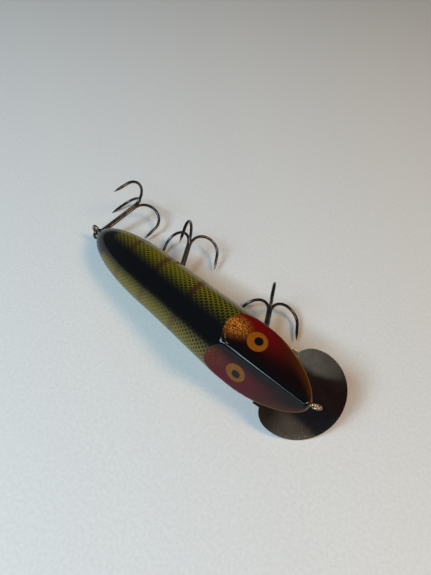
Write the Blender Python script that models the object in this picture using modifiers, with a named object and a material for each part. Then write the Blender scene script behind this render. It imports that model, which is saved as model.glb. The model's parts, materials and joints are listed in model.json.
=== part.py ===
"""A three-hook wooden diving plug: turned body with flat cheeks, slotted-in lip, screw eyes and trebles.

The lure is drawn in its own axes, tail to nose along +X, its left side towards +Y and its back towards +Z.
One empty then lays it down as it rests on a table: rolled onto its right flank, nose held up by the lip,
with the trebles lying out to its left on their lower points.
"""

import math

import bmesh
import bpy
from mathutils import Matrix, Vector

# Gap between pieces that touch on the real lure
CLEARANCE = 0.0003

# Turned body, radii at stations from the tail
TAIL_LENGTH = 0.040
TAIL_FULLNESS = 2.4
TAIL_FLAT_RADIUS = 0.0016
BARREL_RADIUS = 0.01045
HEAD_STATION = 0.083
HEAD_RADIUS = 0.0114
NOSE_LENGTH = 0.0255
NOSE_BLUNTNESS = 0.667
NOSE_FLAT_RADIUS = 0.0020
TURNED_STEPS = 40

# Flat cheeks, planed so that they meet on a ridge that falls towards the nose
RIDGE_STATION = 0.0784
RIDGE_HEIGHT = 0.0102
RIDGE_FALL = math.radians(14.7)
CHEEK_SLOPE = math.radians(36.0)
RUNOUT_STATION = 0.085
RUNOUT_RADIUS = 0.022

# Diving lip, stamped from sheet: a disc on a neck
LIP_SETBACK = 0.0072
LIP_DROP = 0.0092
LIP_TILT = math.radians(38.0)
LIP_RADIUS = 0.0154
LIP_THICKNESS = 0.0008
LIP_NECK_HALF_WIDTH = 0.0107
LIP_NECK_REACH = 0.0110
LIP_CORNER_REACH = 0.0085
LIP_SHOULDER_ANGLE = math.radians(102.0)
LIP_SHIFT = -0.0003
LIP_SCREW_REACH = 0.0070
LIP_SCREW_SPREAD = 0.0045

# Round-head lip screws, driven from the throat
LIP_SCREW_RADIUS = 0.0009
LIP_SCREW_HEAD_RADIUS = 0.0018
LIP_SCREW_HEAD_HEIGHT = 0.0012
LIP_SCREW_GRIP = 0.0032
LIP_SCREW_BITE = 0.0042
LIP_SCREW_SLOT = 0.0005

# Screw eye for the line, leaning to the left as in use
TIE_RING_RADIUS = 0.0013
TIE_WIRE_RADIUS = 0.0004
TIE_SHANK_LENGTH = 0.0100
TIE_OFFSET = 0.0005
TIE_LEAN = math.radians(22.0)
TIE_TURN = math.radians(15.0)

# Screw eyes for the hooks
EYE_RING_RADIUS = 0.0021
EYE_WIRE_RADIUS = 0.0006
EYE_SHANK_LENGTH = 0.0120
EYE_STAND = 0.0004
FRONT_STATION = 0.0832
REAR_STATION = 0.0386
BELLY_EYE_SINK = 0.0009

# Dished cups under the belly eyes, and the washer at the tail
CUP_RIM_RADIUS = 0.0050
CUP_MOUTH_RADIUS = 0.0043
CUP_FLOOR_RADIUS = 0.0022
CUP_WALL = 0.0005
WASHER_RADIUS = 0.0024
WASHER_THICKNESS = 0.0006
WASHER_DISH = 0.0007

# Treble hooks, each three wires brazed side by side
HOOK_WIRE_RADIUS = 0.0006
HOOK_EYE_RADIUS = 0.0019
HOOK_SHANK_LENGTH = 0.0199
HOOK_BEND_RADIUS = 0.0063
HOOK_POINT_LENGTH = 0.0060
HOOK_POINT_SPLAY = 0.0006
HOOK_NEEDLE_LENGTH = 0.0034
HOOK_TIP_RADIUS = 0.000072
HOOK_WIRE_OFFSET = 0.0005
HOOK_BARB_LENGTH = 0.0017
HOOK_BARB_ANGLE = math.radians(24.0)
LINK_SLACK = 0.00035

# How the lure lies: roll onto its right flank, and the way each treble points on the table
LIE_ROLL = math.radians(38.0)
HOOK_ROLL = math.radians(4.0)
FRONT_HEADING = math.radians(122.6)
REAR_HEADING = math.radians(121.2)
TAIL_HEADING = math.radians(91.5)


def clear_scene():
    for old in list(bpy.data.objects):
        bpy.data.objects.remove(old, do_unlink=True)


def new_collection(name):
    made = bpy.data.collections.new(name)
    bpy.context.scene.collection.children.link(made)
    return made


def material(name, colour, roughness, metallic):
    made = bpy.data.materials.new(name)
    made.use_nodes = True
    shader = made.node_tree.nodes["Principled BSDF"]
    shader.inputs["Base Color"].default_value = (*colour, 1.0)
    shader.inputs["Roughness"].default_value = roughness
    shader.inputs["Metallic"].default_value = metallic
    return made


clear_scene()
PARTS = new_collection("crankbait_lure")
CUTTERS = new_collection("cutters")
PAINT = material("painted_wood", (0.10, 0.11, 0.02), 0.18, 0.0)
TARNISHED = material("tarnished_lip_metal", (0.20, 0.17, 0.14), 0.30, 1.0)
BRASS = material("brass_wire", (0.60, 0.43, 0.18), 0.30, 1.0)
NICKEL = material("nickel_fittings", (0.45, 0.43, 0.40), 0.35, 1.0)
BRONZED = material("bronzed_hook_steel", (0.16, 0.13, 0.11), 0.35, 1.0)


def add_part(name, mesh, parent, place, finish):
    part = bpy.data.objects.new(name, mesh)
    PARTS.objects.link(part)
    part.parent = parent
    part.matrix_local = place
    mesh.materials.clear()
    mesh.materials.append(finish)
    mesh.shade_smooth()
    mesh.set_sharp_from_angle(angle=math.radians(35.0))
    return part


def add_cutter(name, mesh, parent, place):
    cutter = bpy.data.objects.new(name, mesh)
    CUTTERS.objects.link(cutter)
    cutter.parent = parent
    cutter.matrix_local = place
    cutter.hide_render = True
    cutter.display_type = "WIRE"
    return cutter


def cut(part, cutter):
    boolean = part.modifiers.new(cutter.name, "BOOLEAN")
    boolean.operation = "DIFFERENCE"
    boolean.object = cutter
    weld = part.modifiers.new("weld", "WELD")
    weld.merge_threshold = 5e-6


def mesh_of(maker, name):
    """The evaluated mesh of a helper object, with its caps welded, and the helper removed."""
    bpy.context.scene.collection.objects.link(maker)
    graph = bpy.context.evaluated_depsgraph_get()
    mesh = bpy.data.meshes.new_from_object(maker.evaluated_get(graph))
    mesh.name = name
    held = bmesh.new()
    held.from_mesh(mesh)
    bmesh.ops.remove_doubles(held, verts=held.verts, dist=1e-6)
    bmesh.ops.recalc_face_normals(held, faces=held.faces)
    held.to_mesh(mesh)
    held.free()
    bpy.data.objects.remove(maker, do_unlink=True)
    return mesh


def wire_mesh(name, points, radius, tapers=None, closed=False):
    """A round wire along the points. A taper is the share of the full radius at that point."""
    curve = bpy.data.curves.new(name, "CURVE")
    curve.dimensions = "3D"
    curve.bevel_depth = radius
    curve.bevel_resolution = 2
    curve.use_fill_caps = True
    spline = curve.splines.new("POLY")
    spline.use_cyclic_u = closed
    spline.points.add(len(points) - 1)
    for index, point in enumerate(points):
        spline.points[index].co = (*point, 1.0)
        spline.points[index].radius = tapers[index] if tapers else 1.0
    return mesh_of(bpy.data.objects.new(name, curve), name)


def plate_mesh(name, outline, thickness):
    """A flat plate in its own XY plane, half of its thickness to each side."""
    curve = bpy.data.curves.new(name, "CURVE")
    curve.dimensions = "2D"
    curve.fill_mode = "BOTH"
    curve.extrude = thickness / 2
    spline = curve.splines.new("POLY")
    spline.points.add(len(outline) - 1)
    spline.use_cyclic_u = True
    for index, point in enumerate(outline):
        spline.points[index].co = (point[0], point[1], 0.0, 1.0)
    return mesh_of(bpy.data.objects.new(name, curve), name)


def turned_mesh(name, profile, steps):
    """A solid of revolution about Z, from (radius, height) points listed from its top down its outside."""
    mesh = bpy.data.meshes.new(name)
    edges = [(index, index + 1) for index in range(len(profile) - 1)]
    mesh.from_pydata([(radius, 0.0, height) for radius, height in profile], edges, [])
    maker = bpy.data.objects.new(name, mesh)
    screw = maker.modifiers.new("turn", "SCREW")
    screw.axis = "Z"
    screw.steps = steps
    screw.render_steps = steps
    screw.use_merge_vertices = True
    screw.merge_threshold = 1e-6
    return mesh_of(maker, name)


def rod_mesh(name, radius, low, high, steps=20):
    return turned_mesh(name, [(0.0, high), (radius, high), (radius, low), (0.0, low)], steps)


def united_mesh(name, meshes):
    """One closed mesh from overlapping ones."""
    base = bpy.data.objects.new(name, meshes[0])
    others = []
    for mesh in meshes[1:]:
        other = bpy.data.objects.new(mesh.name, mesh)
        bpy.context.scene.collection.objects.link(other)
        others.append(other)
        union = base.modifiers.new(mesh.name, "BOOLEAN")
        union.operation = "UNION"
        union.object = other
    mesh = mesh_of(base, name)
    for other in others:
        bpy.data.objects.remove(other, do_unlink=True)
    return mesh


def frame(origin, x_axis, y_axis):
    """A placement from its origin and two square unit axes."""
    z_axis = x_axis.cross(y_axis)
    turn = Matrix((x_axis, y_axis, z_axis)).transposed().to_4x4()
    return Matrix.Translation(origin) @ turn


def tail_start():
    share = 1.0 - (TAIL_FLAT_RADIUS / BARREL_RADIUS) ** 2
    return TAIL_LENGTH * (1.0 - share ** (1.0 / TAIL_FULLNESS))


def nose_end():
    share = 1.0 - (NOSE_FLAT_RADIUS / HEAD_RADIUS) ** (1.0 / NOSE_BLUNTNESS)
    return HEAD_STATION + NOSE_LENGTH * math.sqrt(share)


def body_radius(station):
    """Radius of the turned body at a distance from the tail."""
    if station < TAIL_LENGTH:
        share = 1.0 - (1.0 - station / TAIL_LENGTH) ** TAIL_FULLNESS
        return BARREL_RADIUS * math.sqrt(max(0.0, share))
    if station < HEAD_STATION:
        along = (station - TAIL_LENGTH) / (HEAD_STATION - TAIL_LENGTH)
        return BARREL_RADIUS + (HEAD_RADIUS - BARREL_RADIUS) * along
    along = (station - HEAD_STATION) / NOSE_LENGTH
    return HEAD_RADIUS * max(0.0, 1.0 - along**2) ** NOSE_BLUNTNESS


def body_stations():
    tail_points = 11
    barrel_points = 4
    nose_points = 9
    stations = []
    for index in range(tail_points):
        stations.append(tail_start() + (TAIL_LENGTH - tail_start()) * (index / tail_points) ** 2)
    for index in range(barrel_points):
        stations.append(TAIL_LENGTH + (HEAD_STATION - TAIL_LENGTH) * index / barrel_points)
    for index in range(nose_points + 1):
        share = math.sin(index / nose_points * math.pi / 2)
        stations.append(HEAD_STATION + (nose_end() - HEAD_STATION) * share)
    return stations


def lip_frame():
    """Lip axes: X down its slope to the front, Y to the left, Z square to the plate on its upper side."""
    origin = Vector((HEAD_STATION + NOSE_LENGTH - LIP_SETBACK, LIP_SHIFT, -LIP_DROP))
    forward = Vector((math.cos(LIP_TILT), 0.0, -math.sin(LIP_TILT)))
    return frame(origin, forward, Vector((0.0, 1.0, 0.0)))


def up_in_lure(pitch):
    """The table's upward direction, in the lure's axes."""
    level = math.cos(pitch)
    return Vector((math.sin(pitch), level * math.sin(LIE_ROLL), level * math.cos(LIE_ROLL)))


def lowest_of_body(up):
    across = math.hypot(up.y, up.z)
    return min(up.x * station - body_radius(station) * across for station in body_stations())


def lowest_of_lip(up):
    place = lip_frame()
    forward, left, square = (up.dot(place.col[axis].to_3d()) for axis in range(3))
    reach = LIP_RADIUS * math.hypot(forward, left) + LIP_THICKNESS / 2 * abs(square)
    return up.dot(place.translation) - reach


def resting_pitch():
    """Nose-up angle at which the lip's rim and the rear of the body touch the table together."""
    low, high = -0.2, 0.6
    for _ in range(50):
        middle = (low + high) / 2
        up = up_in_lure(middle)
        if lowest_of_lip(up) < lowest_of_body(up):
            low = middle
        else:
            high = middle
    return (low + high) / 2


def lying_frame():
    pitch = resting_pitch()
    lift = Matrix.Translation((0.0, 0.0, -lowest_of_body(up_in_lure(pitch))))
    return lift @ Matrix.Rotation(-pitch, 4, "Y") @ Matrix.Rotation(LIE_ROLL, 4, "X")


def make_body(lure):
    profile = [(body_radius(station), station) for station in reversed(body_stations())]
    profile = [(0.0, profile[0][1])] + profile + [(0.0, profile[-1][1])]
    half_step = Matrix.Rotation(math.pi / TURNED_STEPS, 4, "Z")
    along_lure = Matrix.Rotation(math.pi / 2, 4, "Y") @ half_step
    return add_part("body", turned_mesh("body", profile, TURNED_STEPS), lure, along_lure, PAINT)


def cheek_cutter(lure):
    """What the plane takes off both cheeks: flat to the nose, and rolled up to the back at the rear end."""
    reach = NOSE_LENGTH + HEAD_RADIUS
    height = 2 * HEAD_RADIUS
    half_width = 2 * HEAD_RADIUS
    sweep = math.radians(75.0)
    arc_points = 9
    outline = [(reach, height), (reach, 0.0)]
    for index in range(arc_points + 1):
        angle = sweep * index / arc_points
        outline.append((-RUNOUT_RADIUS * math.sin(angle), RUNOUT_RADIUS * (1.0 - math.cos(angle))))
    outline.append((outline[-1][0] - height / math.tan(sweep), outline[-1][1] + height))
    ridge_drop = (RUNOUT_STATION - RIDGE_STATION) * math.tan(RIDGE_FALL)
    start = Vector((RUNOUT_STATION, 0.0, RIDGE_HEIGHT - ridge_drop))
    ridge = Vector((math.cos(RIDGE_FALL), 0.0, -math.sin(RIDGE_FALL)))
    square = Vector((math.tan(RIDGE_FALL), math.tan(CHEEK_SLOPE), 1.0)).normalized()
    across = ridge.cross(square)
    corners = []
    for along, above in outline:
        point = start + ridge * along + square * above
        middle = point - across * (point.y / across.y)
        left = point + across * ((half_width - point.y) / across.y)
        corners += [left, middle, Vector((left.x, -left.y, left.z))]
    count = len(outline)
    faces = [[3 * index for index in range(count)], [3 * index + 2 for index in range(count)]]
    for index in range(count):
        after = (index + 1) % count
        for side in (0, 1):
            first = 3 * index + side
            second = 3 * after + side
            faces.append([first, second, second + 1, first + 1])
    mesh = bpy.data.meshes.new("cheek_cut")
    mesh.from_pydata(corners, [], faces)
    mesh = mesh_of(bpy.data.objects.new("cheek_cut", mesh), "cheek_cut")
    return add_cutter("cheek_cut", mesh, lure, Matrix.Identity(4))


def lip_outline():
    """Disc and neck. Behind its middle the disc draws in, to meet the neck in a corner on each side."""
    rim_points = 52
    corner_angle = math.atan2(LIP_NECK_HALF_WIDTH, -LIP_CORNER_REACH)
    draw_in = LIP_RADIUS - math.hypot(LIP_NECK_HALF_WIDTH, LIP_CORNER_REACH)
    outline = []
    for index in range(rim_points + 1):
        angle = corner_angle * (2 * index / rim_points - 1)
        behind = max(0.0, (abs(angle) - LIP_SHOULDER_ANGLE) / (corner_angle - LIP_SHOULDER_ANGLE))
        radius = LIP_RADIUS - draw_in * behind**2
        outline.append((radius * math.cos(angle), radius * math.sin(angle)))
    outline.append((-LIP_NECK_REACH, LIP_NECK_HALF_WIDTH))
    outline.append((-LIP_NECK_REACH, -LIP_NECK_HALF_WIDTH))
    return outline


def lip_screw_frame(side):
    """Screw axes: Z up through the plate, its origin on the plate's middle."""
    spread = side * LIP_SCREW_SPREAD - LIP_SHIFT
    return lip_frame() @ Matrix.Translation((-LIP_SCREW_REACH, spread, 0.0))


def make_lip(lure, body):
    plate = plate_mesh("diving_lip", lip_outline(), LIP_THICKNESS)
    lip = add_part("diving_lip", plate, lure, lip_frame(), TARNISHED)
    front = 2 * LIP_RADIUS
    back = -LIP_NECK_REACH - CLEARANCE
    corners = [(front, front), (back, front), (back, -front), (front, -front)]
    kerf = plate_mesh("lip_slot", corners, LIP_THICKNESS + 2 * CLEARANCE)
    cut(body, add_cutter("lip_slot", kerf, lure, lip_frame()))
    for side, name in ((1, "lip_screw_left"), (-1, "lip_screw_right")):
        place = lip_screw_frame(side)
        make_lip_screw(name, lure, place)
        low = -LIP_SCREW_GRIP - CLEARANCE
        high = LIP_SCREW_BITE + CLEARANCE
        bore = rod_mesh("lip_screw_bore", LIP_SCREW_RADIUS + CLEARANCE, low, high)
        bore_cutter = add_cutter("lip_screw_bore", bore, lure, place)
        cut(body, bore_cutter)
        cut(lip, bore_cutter)
        seat_radius = LIP_SCREW_HEAD_RADIUS + CLEARANCE
        seat = rod_mesh("lip_screw_seat", seat_radius, low - HEAD_RADIUS, -LIP_SCREW_GRIP)
        cut(body, add_cutter("lip_screw_seat", seat, lure, place))
    return lip


def make_lip_screw(name, lure, place):
    """Round head towards the throat, with a driver slot, and a pointed shank up through the plate."""
    head_points = 5
    point_start = LIP_SCREW_BITE - 2 * LIP_SCREW_RADIUS
    under_head = -LIP_SCREW_GRIP - CLEARANCE
    profile = [(0.0, LIP_SCREW_BITE), (LIP_SCREW_RADIUS, point_start), (LIP_SCREW_RADIUS, under_head)]
    for index in range(head_points + 1):
        angle = math.pi / 2 * index / head_points
        drop = LIP_SCREW_HEAD_HEIGHT * math.sin(angle)
        profile.append((LIP_SCREW_HEAD_RADIUS * math.cos(angle), under_head - drop))
    screw = add_part(name, turned_mesh(name, profile, 20), lure, place, NICKEL)
    half_length = 2 * LIP_SCREW_HEAD_RADIUS
    corners = [(half_length, half_length), (-half_length, half_length)]
    corners += [(-half_length, -half_length), (half_length, -half_length)]
    slot = plate_mesh("driver_slot", corners, LIP_SCREW_SLOT)
    slot_depth = LIP_SCREW_HEAD_HEIGHT / 2
    lowered = Vector((0.0, 0.0, under_head - slot_depth - half_length))
    upright = frame(lowered, Vector((1.0, 0.0, 0.0)), Vector((0.0, 0.0, 1.0)))
    cut(screw, add_cutter("driver_slot", slot, lure, place @ upright))


def screw_eye_mesh(name, ring_radius, wire_radius, stem, shank_length):
    """A wire bent into a ring in its own XZ plane, centred on the origin, on a pointed shank down -Z."""
    ring_points = 22
    start = math.radians(-52.0)
    end = math.radians(222.0)
    foot = -ring_radius - wire_radius - stem
    points = [(0.0, 0.0, foot - shank_length), (0.0, 0.0, foot - shank_length + 3 * wire_radius)]
    tapers = [0.15, 1.0]
    points += [(0.0, 0.0, foot), (0.12 * ring_radius, 0.0, -1.06 * ring_radius)]
    tapers += [1.0, 1.0]
    for index in range(ring_points + 1):
        angle = start + (end - start) * index / ring_points
        points.append((ring_radius * math.cos(angle), 0.0, ring_radius * math.sin(angle)))
        tapers.append(1.0)
    return wire_mesh(name, points, wire_radius, tapers)


def shank_bore(lure, body, place, ring_radius, wire_radius, stem, shank_length, part=None):
    """Pilot hole for a screw eye's shank, and a way through for its stem."""
    end = -ring_radius - wire_radius - stem - shank_length - CLEARANCE
    bore = rod_mesh("shank_bore", wire_radius + CLEARANCE, end, 0.0, 16)
    cutter = add_cutter("shank_bore", bore, lure, place)
    cut(body, cutter)
    if part:
        cut(part, cutter)


def make_line_tie(lure, body):
    """The eye stands on the nose flat, leaning over and turned a little out of upright."""
    stem = CLEARANCE
    rise = TIE_RING_RADIUS + TIE_WIRE_RADIUS + stem
    lean = Matrix.Rotation(TIE_LEAN, 4, "Z") @ Matrix.Rotation(math.pi / 2, 4, "Y")
    foot = Matrix.Translation((nose_end() + TIE_WIRE_RADIUS * math.sin(TIE_LEAN), TIE_OFFSET, 0.0))
    place = foot @ lean @ Matrix.Translation((0.0, 0.0, rise)) @ Matrix.Rotation(TIE_TURN, 4, "Z")
    mesh = screw_eye_mesh("line_tie", TIE_RING_RADIUS, TIE_WIRE_RADIUS, stem, TIE_SHANK_LENGTH)
    add_part("line_tie", mesh, lure, place, BRASS)
    shank_bore(lure, body, place, TIE_RING_RADIUS, TIE_WIRE_RADIUS, stem, TIE_SHANK_LENGTH)


def treble_wire_points():
    """One wire of a treble, as (along the shank, out from it, share of the full radius)."""
    bend_points = 11
    start = LINK_SLACK + HOOK_EYE_RADIUS
    bend_at = LINK_SLACK + HOOK_SHANK_LENGTH
    wire = [(start, HOOK_WIRE_OFFSET, 1.0), (bend_at, HOOK_WIRE_OFFSET, 1.0)]
    for index in range(1, bend_points + 1):
        angle = math.pi * index / bend_points
        along = bend_at + HOOK_BEND_RADIUS * math.sin(angle)
        out = HOOK_WIRE_OFFSET + HOOK_BEND_RADIUS * (1.0 - math.cos(angle))
        wire.append((along, out, 1.0))
    needle_at = HOOK_POINT_LENGTH - HOOK_NEEDLE_LENGTH
    needle = [(needle_at, 1.0), (needle_at + HOOK_NEEDLE_LENGTH / 2, 0.62)]
    needle += [(HOOK_POINT_LENGTH, HOOK_TIP_RADIUS / HOOK_WIRE_RADIUS)]
    for back, share in needle:
        out = HOOK_WIRE_OFFSET + 2 * HOOK_BEND_RADIUS + HOOK_POINT_SPLAY * back / HOOK_POINT_LENGTH
        wire.append((bend_at - back, out, share))
    return wire


def treble_mesh():
    """Hinge point at the origin, shank along +X, eye in the XZ plane, first of the three bends up +Z."""
    eye_points = 20
    ring = []
    for index in range(eye_points):
        angle = 2 * math.pi * index / eye_points
        along = LINK_SLACK + HOOK_EYE_RADIUS * math.cos(angle)
        ring.append((along, 0.0, HOOK_EYE_RADIUS * math.sin(angle)))
    meshes = [wire_mesh("treble", ring, HOOK_WIRE_RADIUS, closed=True)]
    wire = treble_wire_points()
    tip_along, tip_out, tip_share = wire[-1]
    barb_root = HOOK_NEEDLE_LENGTH * 0.85
    for arm in range(3):
        turn = Matrix.Rotation(2 * math.pi * arm / 3, 3, "X")
        points = [turn @ Vector((along, 0.0, out)) for along, out, _ in wire]
        shares = [share for _, _, share in wire]
        meshes.append(wire_mesh("treble_wire", points, HOOK_WIRE_RADIUS, shares))
        root = Vector((tip_along + barb_root, 0.0, tip_out - HOOK_WIRE_RADIUS / 3))
        lean = Vector((math.cos(HOOK_BARB_ANGLE), 0.0, -math.sin(HOOK_BARB_ANGLE)))
        barb = [turn @ (root - lean * HOOK_WIRE_RADIUS), turn @ (root + lean * HOOK_BARB_LENGTH)]
        meshes.append(wire_mesh("treble_barb", barb, 0.7 * HOOK_WIRE_RADIUS, [1.0, tip_share]))
    return united_mesh("treble", meshes)


def lie_of_treble(hinge_height):
    """Angle of the shank above the table, at which the lower of the two lower points touches it."""
    tip_along, tip_out, share = treble_wire_points()[-1]
    below = tip_out * math.cos(math.pi / 3)
    rolled = tip_out * math.sin(math.pi / 3) * math.sin(HOOK_ROLL)
    drop = (hinge_height - share * HOOK_WIRE_RADIUS - rolled) / math.cos(HOOK_ROLL)
    return math.atan2(below, tip_along) - math.asin(drop / math.hypot(tip_along, below))


def hinge_axis(heading):
    """A treble swings about a line that is square to the way it points, and nearly level."""
    level = Vector((-math.sin(heading), math.cos(heading), 0.0))
    return level * math.cos(HOOK_ROLL) - Vector((0.0, 0.0, math.sin(HOOK_ROLL)))


def hang_treble(name, mesh, lure, hinge_point, heading):
    """Links a treble at a point of its screw eye's ring, and lays it on the table."""
    lying = lure.matrix_basis
    at = lying @ hinge_point
    lift = lie_of_treble(at.z)
    hinge = hinge_axis(heading)
    level = Vector((math.cos(heading), math.sin(heading), 0.0))
    shank = level * math.cos(lift) + level.cross(hinge) * math.sin(lift)
    add_part(name, mesh, lure, lying.inverted() @ frame(at, shank, hinge), BRONZED)


def cup_rim_depth(station):
    """Distance from the body's axis to the flat that the cup's rim lies on."""
    rim = CUP_RIM_RADIUS + CLEARANCE
    return math.sqrt(body_radius(station) ** 2 - rim**2) - CUP_WALL


def make_belly_station(prefix, station, heading, treble, lure, body):
    """Cup, screw eye and treble at one place on the belly."""
    down = Vector((0.0, 0.0, -1.0))
    ring_centre = Vector((station, 0.0, -(body_radius(station) - BELLY_EYE_SINK)))
    wire = lure.matrix_basis.to_3x3().inverted() @ hinge_axis(heading)
    across = (wire - down * wire.dot(down)).normalized()
    outward = (down - wire * wire.dot(down)).normalized()
    hang_treble(prefix + "_treble", treble, lure, ring_centre + outward * EYE_RING_RADIUS, heading)
    eye_place = frame(ring_centre, across, down.cross(across))
    eye = prefix + "_hook_eye"
    mesh = screw_eye_mesh(eye, EYE_RING_RADIUS, EYE_WIRE_RADIUS, EYE_STAND, EYE_SHANK_LENGTH)
    add_part(eye, mesh, lure, eye_place, NICKEL)
    rim = cup_rim_depth(station)
    foot = EYE_RING_RADIUS + EYE_WIRE_RADIUS + EYE_STAND
    depth = rim + ring_centre.z + foot
    profile = [(CUP_RIM_RADIUS, CUP_WALL), (CUP_RIM_RADIUS, 0.0), (CUP_MOUTH_RADIUS, 0.0)]
    profile += [(CUP_FLOOR_RADIUS + CUP_WALL, -depth - CUP_WALL), (0.0, -depth - CUP_WALL)]
    inside = [(0.0, -depth), (CUP_FLOOR_RADIUS, -depth), (CUP_MOUTH_RADIUS - CUP_WALL, CUP_WALL)]
    under = frame(Vector((station, 0.0, -rim)), Vector((1.0, 0.0, 0.0)), Vector((0.0, -1.0, 0.0)))
    cup = turned_mesh(prefix + "_hook_cup", inside + profile, 28)
    cup_part = add_part(prefix + "_hook_cup", cup, lure, under, NICKEL)
    wood_rim = CUP_RIM_RADIUS + CLEARANCE
    seat = [(0.0, 2 * HEAD_RADIUS), (wood_rim, 2 * HEAD_RADIUS), (wood_rim, -CLEARANCE)]
    seat += [(CUP_MOUTH_RADIUS + CLEARANCE, -CLEARANCE)]
    seat += [(CUP_FLOOR_RADIUS + CUP_WALL + CLEARANCE, -depth - CUP_WALL - CLEARANCE)]
    seat += [(0.0, -depth - CUP_WALL - CLEARANCE)]
    cut(body, add_cutter("cup_seat", turned_mesh("cup_seat", seat, 28), lure, under))
    sizes = (EYE_RING_RADIUS, EYE_WIRE_RADIUS, EYE_STAND, EYE_SHANK_LENGTH)
    shank_bore(lure, body, eye_place, *sizes, cup_part)


def make_tail_station(treble, lure, body):
    """Washer, screw eye and treble at the tail end."""
    backward = Vector((-1.0, 0.0, 0.0))
    washer_at = tail_start() - CLEARANCE
    stand = EYE_RING_RADIUS + EYE_WIRE_RADIUS + EYE_STAND + WASHER_THICKNESS
    ring_centre = Vector((washer_at - stand, 0.0, 0.0))
    fall = lure.matrix_basis.to_3x3().inverted() @ Vector((0.0, 0.0, -1.0))
    across = (fall - backward * fall.dot(backward)).normalized()
    hang_treble("tail_treble", treble, lure, ring_centre + across * EYE_RING_RADIUS, TAIL_HEADING)
    eye_place = frame(ring_centre, across, backward.cross(across))
    shank = EYE_SHANK_LENGTH + WASHER_THICKNESS
    mesh = screw_eye_mesh("tail_hook_eye", EYE_RING_RADIUS, EYE_WIRE_RADIUS, EYE_STAND, shank)
    add_part("tail_hook_eye", mesh, lure, eye_place, NICKEL)
    hole = EYE_WIRE_RADIUS + CLEARANCE
    profile = [(hole, WASHER_THICKNESS), (TAIL_FLAT_RADIUS, WASHER_THICKNESS)]
    profile += [(WASHER_RADIUS, WASHER_THICKNESS - WASHER_DISH), (WASHER_RADIUS, -WASHER_DISH)]
    profile += [(TAIL_FLAT_RADIUS, 0.0), (hole, 0.0), (hole, WASHER_THICKNESS)]
    behind = frame(Vector((washer_at, 0.0, 0.0)), Vector((0.0, 0.0, 1.0)), Vector((0.0, 1.0, 0.0)))
    add_part("tail_washer", turned_mesh("tail_washer", profile, 24), lure, behind, NICKEL)
    shank_bore(lure, body, eye_place, EYE_RING_RADIUS, EYE_WIRE_RADIUS, EYE_STAND, shank)


def centre_on_footprint(lure):
    """Moves the lure so that the origin is the middle of its footprint on the table."""
    bpy.context.view_layer.update()
    graph = bpy.context.evaluated_depsgraph_get()
    corners = []
    for part in PARTS.objects:
        if part.type == "MESH":
            done = part.evaluated_get(graph)
            corners += [done.matrix_world @ vertex.co for vertex in done.data.vertices]
    low = [min(corner[axis] for corner in corners) for axis in range(3)]
    high = [max(corner[axis] for corner in corners) for axis in range(3)]
    shift = Vector((-(low[0] + high[0]) / 2, -(low[1] + high[1]) / 2, -low[2]))
    lure.matrix_basis = Matrix.Translation(shift) @ lure.matrix_basis


def main():
    lure = bpy.data.objects.new("lure", None)
    PARTS.objects.link(lure)
    lure.matrix_basis = lying_frame()
    body = make_body(lure)
    cut(body, cheek_cutter(lure))
    make_lip(lure, body)
    make_line_tie(lure, body)
    treble = treble_mesh()
    make_belly_station("front", FRONT_STATION, FRONT_HEADING, treble, lure, body)
    make_belly_station("rear", REAR_STATION, REAR_HEADING, treble, lure, body)
    make_tail_station(treble, lure, body)
    centre_on_footprint(lure)


main()
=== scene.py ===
# %% [markdown]
# # A wooden diving plug, dressed for its portrait
# This lesson takes the plain solids of a three-hook fishing plug and gives them their looks: perch-scale
# paint under varnish, a tarnished metal lip, bent wire and bronzed treble hooks. The solids come in as a
# fixed frame in metres. New pieces are made finer, in the same places, and ride on the same bodies.

# %% Load the frame
import json
import math
import bmesh
import bpy
from functools import partial, partialmethod
from mathutils import Euler, Matrix, Vector

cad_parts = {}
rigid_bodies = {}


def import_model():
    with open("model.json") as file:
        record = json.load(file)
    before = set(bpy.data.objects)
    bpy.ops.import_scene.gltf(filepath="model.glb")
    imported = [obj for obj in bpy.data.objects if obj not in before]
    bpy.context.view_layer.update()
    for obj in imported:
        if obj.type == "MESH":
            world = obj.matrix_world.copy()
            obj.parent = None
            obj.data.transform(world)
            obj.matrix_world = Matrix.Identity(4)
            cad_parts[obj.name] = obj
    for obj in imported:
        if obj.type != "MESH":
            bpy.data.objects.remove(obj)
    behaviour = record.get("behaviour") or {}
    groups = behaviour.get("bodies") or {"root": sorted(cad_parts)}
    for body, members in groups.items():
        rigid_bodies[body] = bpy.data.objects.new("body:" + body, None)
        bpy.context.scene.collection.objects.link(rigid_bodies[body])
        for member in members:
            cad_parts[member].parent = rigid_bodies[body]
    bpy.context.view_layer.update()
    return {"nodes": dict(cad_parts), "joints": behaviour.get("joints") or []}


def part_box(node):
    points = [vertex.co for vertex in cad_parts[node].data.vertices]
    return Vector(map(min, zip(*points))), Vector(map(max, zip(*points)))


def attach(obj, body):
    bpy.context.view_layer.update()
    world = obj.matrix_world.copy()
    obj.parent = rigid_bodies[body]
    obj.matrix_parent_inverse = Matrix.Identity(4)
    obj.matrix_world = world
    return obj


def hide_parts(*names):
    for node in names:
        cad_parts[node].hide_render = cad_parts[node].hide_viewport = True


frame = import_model()
scene = bpy.context.scene
scene.view_settings.view_transform = "Standard"
print("nodes:", ", ".join(sorted(frame["nodes"])))

# %% [markdown]
# ## The lure's own axes
# A lure is drawn from tail to nose, but it lies on the table rolled onto one flank, with its nose held up by
# the lip. So shapes are drawn in the lure's own axes, where formulas are short: X from tail to nose, Y to its
# left, Z to its back. One matrix then lays a finished mesh down. Sizes are written in millimetres.

# %% Axes and units
MM = 0.001
LURE_PLACE = Vector((-0.0494074, -0.0117000, 0.0072084))
LURE_TURN = Euler((math.radians(38.0), math.radians(-6.692178), 0.0))
LYING = Matrix.Translation(LURE_PLACE) @ LURE_TURN.to_matrix().to_4x4()
print("nose points along", [round(part, 3) for part in LYING.col[0][:3]])

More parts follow.
